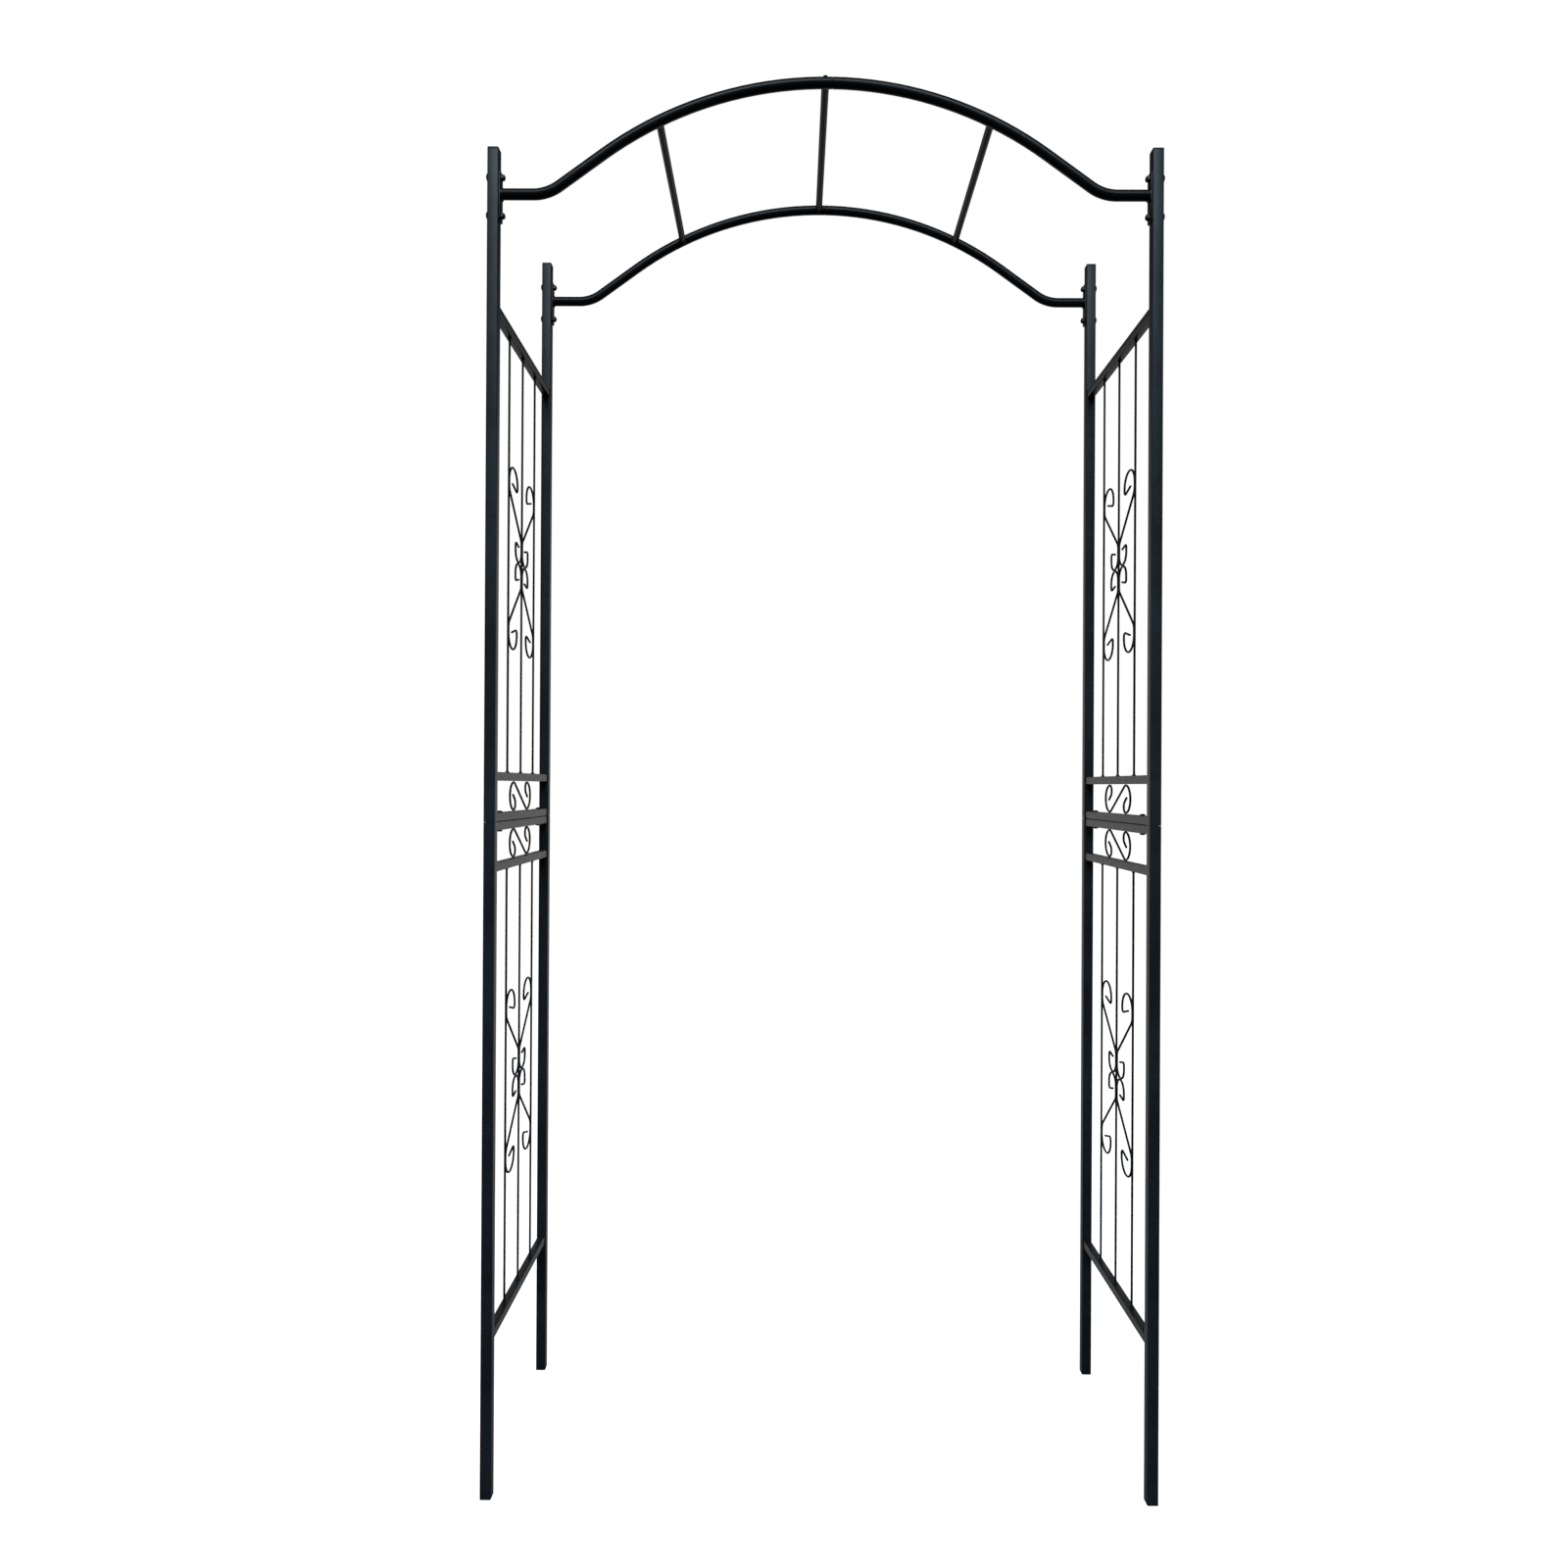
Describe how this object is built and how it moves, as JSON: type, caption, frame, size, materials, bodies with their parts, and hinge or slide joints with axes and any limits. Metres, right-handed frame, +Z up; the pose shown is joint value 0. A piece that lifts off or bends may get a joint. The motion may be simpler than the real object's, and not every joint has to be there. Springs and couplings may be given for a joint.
{
  "type": "garden trellis arch",
  "caption": "Black steel garden arch: square-tube side ladders with wire scrollwork, joined overhead by round-tube hoops and crossbars.",
  "frame": {"origin": "on the ground, at the middle of the arch's footprint", "axes": "+Z up, X across the path from the left side ladder to the right one, +Y along the path to the rear hoop; the front hoop is at -Y"},
  "size_m": [1.1476, 0.4, 2.4063],
  "materials": {
    "post_paint": "satin black powder coat with a blue-grey sheen",
    "rail_paint": "satin black powder coat",
    "wire_paint": "satin black powder coat",
    "hoop_paint": "satin black powder coat",
    "cap_plastic": "matt moulded black plastic",
    "fastener_black": "blackened steel"
  },
  "bodies": {
    "root": {"upper_post_front_left": "post_paint", "upper_post_front_right": "post_paint", "upper_post_rear_left": "post_paint", "upper_post_rear_right": "post_paint", "upper_joint_rail_left": "rail_paint", "upper_middle_rail_left": "rail_paint", "upper_outer_rail_left": "rail_paint", "upper_grille_left": "wire_paint", "upper_bay_scroll_left": "wire_paint", "upper_joint_rail_right": "rail_paint", "upper_middle_rail_right": "rail_paint", "upper_outer_rail_right": "rail_paint", "upper_grille_right": "wire_paint", "upper_bay_scroll_right": "wire_paint", "lower_post_front_left": "post_paint", "lower_post_front_right": "post_paint", "lower_post_rear_left": "post_paint", "lower_post_rear_right": "post_paint", "lower_joint_rail_left": "rail_paint", "lower_middle_rail_left": "rail_paint", "lower_outer_rail_left": "rail_paint", "lower_grille_left": "wire_paint", "lower_bay_scroll_left": "wire_paint", "lower_joint_rail_right": "rail_paint", "lower_middle_rail_right": "rail_paint", "lower_outer_rail_right": "rail_paint", "lower_grille_right": "wire_paint", "lower_bay_scroll_right": "wire_paint", "top_cap_front_left": "cap_plastic", "top_cap_front_right": "cap_plastic", "top_cap_rear_left": "cap_plastic", "top_cap_rear_right": "cap_plastic", "foot_cap_front_left": "cap_plastic", "foot_cap_front_right": "cap_plastic", "foot_cap_rear_left": "cap_plastic", "foot_cap_rear_right": "cap_plastic", "hoop_half_front_left": "hoop_paint", "hoop_half_front_right": "hoop_paint", "hoop_half_rear_left": "hoop_paint", "hoop_half_rear_right": "hoop_paint", "crossbar_left": "hoop_paint", "crossbar_centre": "hoop_paint", "crossbar_right": "hoop_paint", "flange_bolt_upper_front_left": "fastener_black", "flange_bolt_upper_front_right": "fastener_black", "flange_bolt_upper_rear_left": "fastener_black", "flange_bolt_upper_rear_right": "fastener_black", "flange_bolt_lower_front_left": "fastener_black", "flange_bolt_lower_front_right": "fastener_black", "flange_bolt_lower_rear_left": "fastener_black", "flange_bolt_lower_rear_right": "fastener_black", "joint_bolt_front_left": "fastener_black", "joint_bolt_front_right": "fastener_black", "joint_bolt_rear_left": "fastener_black", "joint_bolt_rear_right": "fastener_black", "crown_screw_front": "fastener_black", "crown_screw_rear": "fastener_black"}
  },
  "joints": []
}
